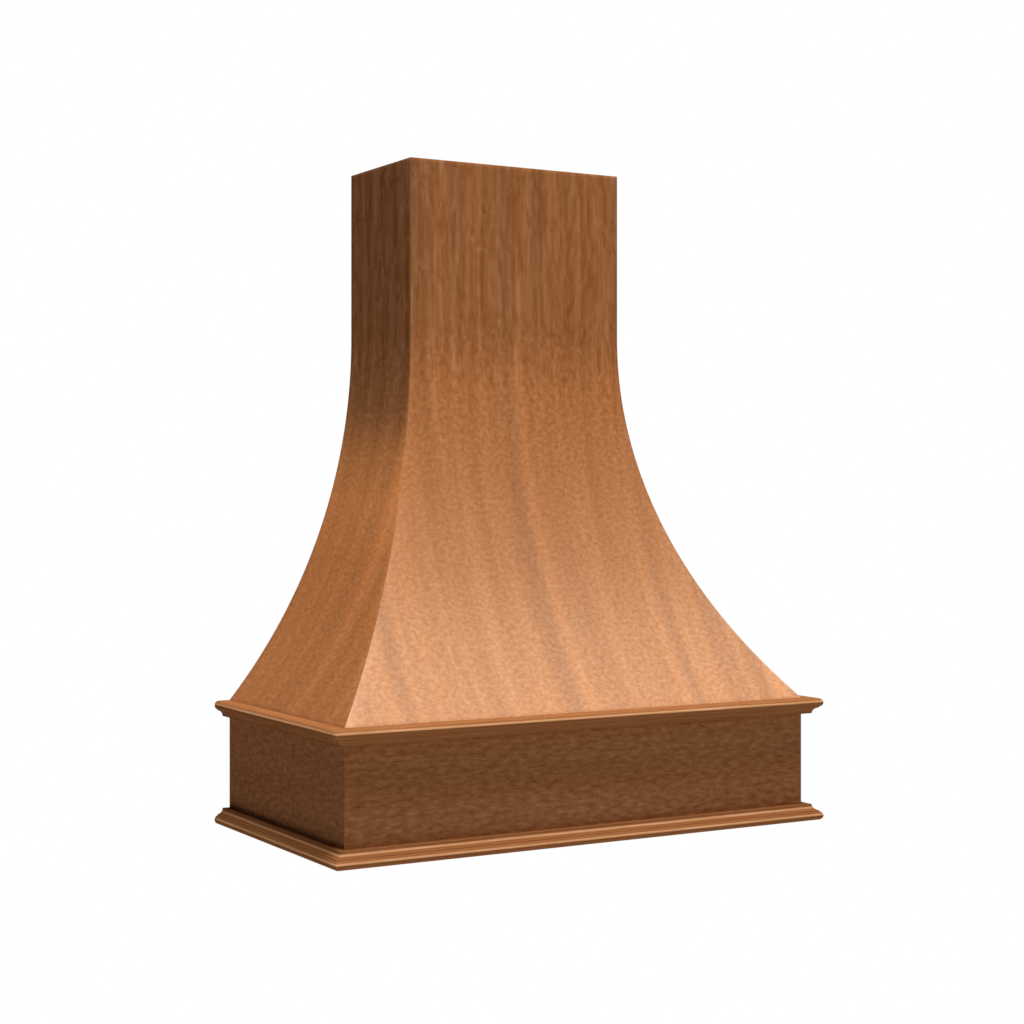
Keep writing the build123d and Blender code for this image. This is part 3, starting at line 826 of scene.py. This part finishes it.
# ------------ screws
def screw_tree():
    """Geometry nodes that drive a threaded, cross-recessed screw into every point."""
    sizes = ("Head radius", "Head height", "Root radius", "Thread radius", "Length", "Pitch")
    sockets = {"Geometry": "Geometry", **dict.fromkeys(sizes, "Float")}
    tree = tree_with("Driven screws", {**sockets, "Seed": "Int", "Finish": "Material"})
    make = Recipe(tree)
    given = make.add("NodeGroupInput").outputs

    def cone(vertices, top, bottom, height, level):
        """A cone between two radii, with its lower end at a level."""
        inputs = {"Vertices": vertices, "Radius Top": top, "Radius Bottom": bottom, "Depth": height}
        return make.lifted(make.add("GeometryNodeMeshCone", inputs).outputs["Mesh"], level)

    down = make.product(given["Head height"], -1.0)
    head = cone(40, given["Head radius"], given["Root radius"], given["Head height"], down)
    bar_length = make.product(given["Head radius"], 1.25)
    bar_width = make.product(given["Head radius"], 0.24)
    bar_depth = make.product(given["Head height"], 1.3)
    bars = [
        make.add("GeometryNodeMeshCube", {"Size": make.vector(*size)}).outputs["Mesh"]
        for size in ((bar_length, bar_width, bar_depth), (bar_width, bar_length, bar_depth))
    ]
    cut = make.add("GeometryNodeMeshBoolean", {"Mesh 1": head, "Mesh 2": bars[0]}, solver="EXACT")
    tree.links.new(bars[1], cut.inputs["Mesh 2"])
    point_height = make.product(given["Root radius"], 3.0)
    core_height = make.difference(given["Length"], make.sum(given["Head height"], point_height))
    inputs = {"Vertices": 24, "Radius": given["Root radius"], "Depth": core_height}
    core = make.add("GeometryNodeMeshCylinder", inputs).outputs["Mesh"]
    core = make.lifted(core, make.difference(down, make.product(core_height, 0.5)))
    end = make.product(given["Length"], -1.0)
    tip = cone(24, given["Root radius"], 0.0, point_height, end)
    threaded = make.product(core_height, 0.8)
    spiral = make.add(
        "GeometryNodeCurveSpiral",
        {"Resolution": 20, "Rotations": make.maths("DIVIDE", threaded, given["Pitch"]),
         "Start Radius": given["Root radius"], "End Radius": given["Root radius"], "Height": threaded},
    ).outputs["Curve"]
    crest = make.difference(given["Thread radius"], given["Root radius"])
    rim = make.add("GeometryNodeCurvePrimitiveCircle", {"Resolution": 4, "Radius": crest})
    inputs = {"Curve": spiral, "Profile Curve": rim.outputs["Curve"], "Fill Caps": True}
    thread = make.add("GeometryNodeCurveToMesh", inputs).outputs["Mesh"]
    thread = make.lifted(thread, make.sum(end, point_height))
    screw = make.add("GeometryNodeJoinGeometry", {"Geometry": cut.outputs["Mesh"]})
    for part in (core, tip, thread):
        tree.links.new(part, screw.inputs["Geometry"])
    axis = make.add("GeometryNodeInputNamedAttribute", {"Name": "faces"}, data_type="FLOAT_VECTOR")
    aimed = make.add(
        "FunctionNodeAlignRotationToVector", {"Vector": axis.outputs["Attribute"]}, axis="Z"
    ).outputs[0]
    quarter = {2: 0.0, 3: math.pi / 2, "Seed": given["Seed"]}
    twist = make.add("FunctionNodeRandomValue", quarter, data_type="FLOAT").outputs[1]
    spun = make.add("FunctionNodeRotateRotation", {"Rotation": aimed}, rotation_space="LOCAL")
    turned = make.add("FunctionNodeEulerToRotation", {0: make.vector(0.0, 0.0, twist)}).outputs[0]
    tree.links.new(turned, spun.inputs["Rotate By"])
    driven = make.add(
        "GeometryNodeInstanceOnPoints",
        {"Points": given["Geometry"], "Instance": screw.outputs[0], "Rotation": spun.outputs[0]},
    ).outputs[0]
    real = make.add("GeometryNodeRealizeInstances", {"Geometry": driven}).outputs[0]
    finished = make.add("GeometryNodeSetMaterial", {"Geometry": real, "Material": given["Finish"]})
    make.add("NodeGroupOutput", {"Geometry": finished.outputs[0]})
    return tree


def screw_heads(node, facing):
    """Middle of every head of a node of screws, found from the loose solids of its mesh."""
    solid = merged_solid(node)
    heads = []
    waiting = set(solid.verts)
    while waiting:
        group = [waiting.pop()]
        for vertex in group:
            for edge in vertex.link_edges:
                other = edge.other_vert(vertex)
                if other in waiting:
                    waiting.remove(other)
                    group.append(other)
        top = max(vertex.co.dot(facing) for vertex in group)
        rim = [vertex.co for vertex in group if vertex.co.dot(facing) > top - SAME_PLACE]
        lows = [min(place[axis] for place in rim) for axis in range(3)]
        highs = [max(place[axis] for place in rim) for axis in range(3)]
        heads.append((Vector(lows) + Vector(highs)) / 2)
    solid.free()
    return sorted(heads, key=tuple)


def driven_screws(tree, node, facing, seed):
    """All screws of one CAD node."""
    sizes = bpy.context.scene.hood_screws
    base = bpy.data.meshes.new(node)
    heads = screw_heads(node, facing)
    base.from_pydata(heads, [], [])
    aims = base.attributes.new("faces", "FLOAT_VECTOR", "POINT")
    aims.data.foreach_set("vector", list(facing) * len(heads))
    values = {
        "Head radius": sizes.head_radius, "Head height": sizes.head_height,
        "Root radius": sizes.root_radius, "Thread radius": sizes.thread_radius,
        "Length": sizes.length, "Pitch": sizes.pitch, "Seed": seed,
        "Finish": finish_called("zinc_plate"),
    }
    mesh = grown(tree, base, values)
    smooth_sides(mesh)
    shown(mesh, f"{node}_driven", "screw_steel", node)


# ------------ operators
class HOOD_OT_stage(bpy.types.Operator):
    """Camera at the photograph's view, white surroundings and two soft lamps"""

    bl_idname = "hood.stage"
    bl_label = "Studio"

    def execute(self, context):
        studio = context.scene.hood_studio
        place_camera(context.scene)
        floor = pale_floor(studio.floor_level)
        add_area_light("Overhead", OVERHEAD_PLACE, LAMP_AIM, OVERHEAD_SIZE, studio.overhead_power)
        add_area_light("Front", FRONT_PLACE, LAMP_AIM, FRONT_SIZE, studio.front_power)
        white_surroundings(context.scene, studio.ambient)
        context.scene.view_settings.view_transform = "Standard"
        return {"FINISHED"}


class HOOD_OT_skins(bpy.types.Operator):
    """Three veneered panels that bend from the chimney down to the apron"""

    bl_idname = "hood.skins"
    bl_label = "Bent skins"

    def execute(self, context):
        tree = skin_tree()
        bent_skin(tree, "front_skin", 0, "ribbon_veneer")
        for name, side in sides.items():
            bent_skin(tree, f"{name}_skin", side, "side_ribbon_veneer")
        return {"FINISHED"}


class HOOD_OT_apron(bpy.types.Operator):
    """Three mitred apron boards, veneered outside and on their edges"""

    bl_idname = "hood.apron"
    bl_label = "Apron boards"

    def execute(self, context):
        veneered = ("level_veneer", "birch_ply", "level_veneer")
        dressed_board("front_apron_board", "apron_veneer", veneered, ALONG_X, ALONG_Y)
        veneered = ("side_level_veneer", "birch_ply", "side_level_veneer")
        for name, side in sides.items():
            inward = Vector((-side, 0, 0))
            dressed_board(f"{name}_apron_board", "apron_veneer", veneered, ALONG_Y, inward)
        return {"FINISHED"}


class HOOD_OT_mouldings(bpy.types.Operator):
    """Mitred mouldings, nose up under the flare and nose down at the bottom edge"""

    bl_idname = "hood.mouldings"
    bl_label = "Mouldings"

    def execute(self, context):
        for band, level, rise in (("upper", foot_level, -1), ("lower", 0.0, 1)):
            moulding(f"{band}_front_moulding", level, rise, 0)
            for name, side in sides.items():
                moulding(f"{band}_{name}_moulding", level, rise, side)
        return {"FINISHED"}


class HOOD_OT_ribs(bpy.types.Operator):
    """Plywood ribs behind the skins, with hip ribs on the diagonals"""

    bl_idname = "hood.ribs"
    bl_label = "Ribs"

    def execute(self, context):
        for place in ("left", "centre", "right"):
            plywood_board(f"front_rib_{place}", ALONG_Z, ALONG_X)
        for name, side in sides.items():
            plywood_board(f"front_jack_rib_{name}", ALONG_Z, ALONG_X)
            plywood_board(f"hip_rib_{name}", ALONG_Z, Vector((side, 1, 0)).normalized())
            for kind in ("side_jack_rib", "side_rib", "back_rib"):
                plywood_board(f"{kind}_{name}", ALONG_Z, ALONG_Y)
        return {"FINISHED"}


class HOOD_OT_frames(bpy.types.Operator):
    """Half-lapped base, waist and top frames, and the posts between the upper two"""

    bl_idname = "hood.frames"
    bl_label = "Frames and posts"

    def execute(self, context):
        rails = {"front": ALONG_X, "back": ALONG_X, "left": ALONG_Y, "right": ALONG_Y}
        for level in ("base", "waist", "top"):
            for place, along in rails.items():
                plywood_board(f"{level}_frame_{place}", along, ALONG_Z)
        for row in ("front", "back"):
            for name in sides:
                softwood_board(f"{row}_post_{name}", ALONG_Z, ALONG_Y)
        return {"FINISHED"}


class HOOD_OT_apron_framing(bpy.types.Operator):
    """Back rail, corner blocks and ledgers inside the apron"""

    bl_idname = "hood.apron_framing"
    bl_label = "Apron framing"

    def execute(self, context):
        plywood_board("back_apron_rail", ALONG_X, ALONG_Y)
        for place in ("front", "back"):
            softwood_board(f"{place}_ledger", ALONG_X, ALONG_Y)
        for name in sides:
            softwood_board(f"{name}_ledger", ALONG_Y, ALONG_X)
            softwood_board(f"corner_block_{name}", ALONG_Z, ALONG_X)
        return {"FINISHED"}


class HOOD_OT_insert_panel(bpy.types.Operator):
    """Panel in the underside with the ventilator's cut-out"""

    bl_idname = "hood.insert_panel"
    bl_label = "Insert panel"

    def execute(self, context):
        plywood_board("insert_mounting_panel", ALONG_X, ALONG_Z)
        return {"FINISHED"}


class HOOD_OT_hanging(bpy.types.Operator):
    """Bevelled cleat pair and the rail that carries the hood's half"""

    bl_idname = "hood.hanging"
    bl_label = "Cleats and hanging rail"

    def execute(self, context):
        for node in ("wall_cleat", "hood_cleat"):
            softwood_board(node, ALONG_X, ALONG_Y)
        plywood_board("hanging_rail", ALONG_X, ALONG_Y)
        return {"FINISHED"}


class HOOD_OT_tenons(bpy.types.Operator):
    """Loose tenons under the ribs and splines in the apron mitres"""

    bl_idname = "hood.tenons"
    bl_label = "Tenons and splines"

    def execute(self, context):
        for node in ("rib_tenons", "apron_mitre_splines"):
            dressed_board(node, "beech", ("planed_beech",) * 3, ALONG_Z, ALONG_Y)
        return {"FINISHED"}


class HOOD_OT_screws(bpy.types.Operator):
    """Countersunk screws of the panel, the cleat and the hanging rail"""

    bl_idname = "hood.screws"
    bl_label = "Screws"

    def execute(self, context):
        tree = screw_tree()
        driven_screws(tree, "panel_screws", Vector((0, 0, -1)), 3)
        driven_screws(tree, "cleat_screws", Vector((0, 1, 0)), 5)
        driven_screws(tree, "hanging_rail_screws", Vector((0, -1, 0)), 7)
        return {"FINISHED"}


# ------------ studio
def place_camera(scene):
    """Level camera to the left of the hood, at the photograph's viewing angle."""
    camera = bpy.data.cameras.new("Camera")
    camera.lens = 69.07
    camera.sensor_width = 36.0
    camera.shift_y = -0.02344
    holder = bpy.data.objects.new("Camera", camera)
    holder.location = (-1.7885, -3.3074, 0.6013)
    holder.rotation_euler = (math.radians(90), 0, math.radians(-30.11))
    scene.collection.objects.link(holder)
    scene.camera = holder


def add_area_light(name, place, aim, size, power):
    """Soft rectangular light that points at a place."""
    lamp = bpy.data.lights.new(name, "AREA")
    lamp.shape = "RECTANGLE"
    lamp.size, lamp.size_y = size
    lamp.energy = power
    holder = bpy.data.objects.new(name, lamp)
    holder.location = place
    holder.rotation_euler = (aim - place).to_track_quat("-Z", "Y").to_euler()
    bpy.context.scene.collection.objects.link(holder)


def seen_directly(make):
    """1 for what the camera sees, straight, mirrored or through glass, and 0 for other light."""
    rays = make.add("ShaderNodeLightPath").outputs
    seen = make.maths("MAXIMUM", rays["Is Camera Ray"], rays["Is Glossy Ray"])
    return make.maths("MAXIMUM", seen, rays["Is Transmission Ray"])


def pale_floor(level):
    """Floor that the camera sees as white, and that is clear from below."""
    mesh = bpy.data.meshes.new("floor")
    half = 8.0
    square = ((-half, -half), (half, -half), (half, half), (-half, half))
    corners = [(x, y, level) for x, y in square]
    mesh.from_pydata(corners, [], [(0, 1, 2, 3)])
    material = bpy.data.materials.new("pale_floor")
    material.use_nodes = True
    make = Recipe(material.node_tree)
    paint = material.node_tree.nodes["Principled BSDF"]
    paint.inputs["Base Color"].default_value = (0.6, 0.6, 0.6, 1)
    paint.inputs["Roughness"].default_value = 0.9
    white = make.add("ShaderNodeEmission", {"Color": (1, 1, 1, 1), "Strength": 1.0})
    above = make.add(
        "ShaderNodeMixShader", {0: seen_directly(make), 1: paint.outputs[0], 2: white.outputs[0]}
    )
    clear = make.add("ShaderNodeBsdfTransparent")
    under = make.add("ShaderNodeNewGeometry").outputs["Backfacing"]
    both = make.add("ShaderNodeMixShader", {0: under, 1: above.outputs[0], 2: clear.outputs[0]})
    out = material.node_tree.nodes["Material Output"]
    material.node_tree.links.new(both.outputs[0], out.inputs["Surface"])
    mesh.materials.append(material)
    floor = bpy.data.objects.new("floor", mesh)
    bpy.context.scene.collection.objects.link(floor)
    return floor


def white_surroundings(scene, ambient):
    """World that the camera sees as white and that lights the object weakly and evenly."""
    world = bpy.data.worlds.new("Studio")
    world.use_nodes = True
    make = Recipe(world.node_tree)
    background = world.node_tree.nodes["Background"]
    strength = make.add("ShaderNodeMix", {"Factor": seen_directly(make), 2: ambient, 3: 1.0})
    background.inputs["Color"].default_value = (1, 1, 1, 1)
    world.node_tree.links.new(strength.outputs[0], background.inputs["Strength"])
    scene.world = world


# ------------ panel and registration
operators = (
    HOOD_OT_stage,
    HOOD_OT_skins,
    HOOD_OT_apron,
    HOOD_OT_mouldings,
    HOOD_OT_ribs,
    HOOD_OT_frames,
    HOOD_OT_apron_framing,
    HOOD_OT_insert_panel,
    HOOD_OT_hanging,
    HOOD_OT_tenons,
    HOOD_OT_screws,
)


class HOOD_PT_pieces(bpy.types.Panel):
    """The hood's pieces and what can be changed about them"""

    bl_idname = "HOOD_PT_pieces"
    bl_label = "Range hood cover"
    bl_space_type = "VIEW_3D"
    bl_region_type = "UI"
    bl_category = "Hood"

    def draw(self, context):
        for operator in operators:
            self.layout.operator(operator.bl_idname)
        for attribute, group in setting_groups.items():
            box = self.layout.box()
            for name in group.__annotations__:
                box.prop(getattr(context.scene, attribute), name)


classes = (*setting_groups.values(), *operators, HOOD_PT_pieces)


def register():
    """Add the classes and the settings to Blender."""
    for made in classes:
        bpy.utils.register_class(made)
    for attribute, group in setting_groups.items():
        setattr(bpy.types.Scene, attribute, bpy.props.PointerProperty(type=group))


def unregister():
    """Take them out again."""
    for attribute in setting_groups:
        delattr(bpy.types.Scene, attribute)
    for made in reversed(classes):
        bpy.utils.unregister_class(made)


def main():
    """Make the whole scene in order."""
    register()
    for operator in operators:
        group, name = operator.bl_idname.split(".")
        getattr(getattr(bpy.ops, group), name)()


if __name__ == "__main__":
    main()
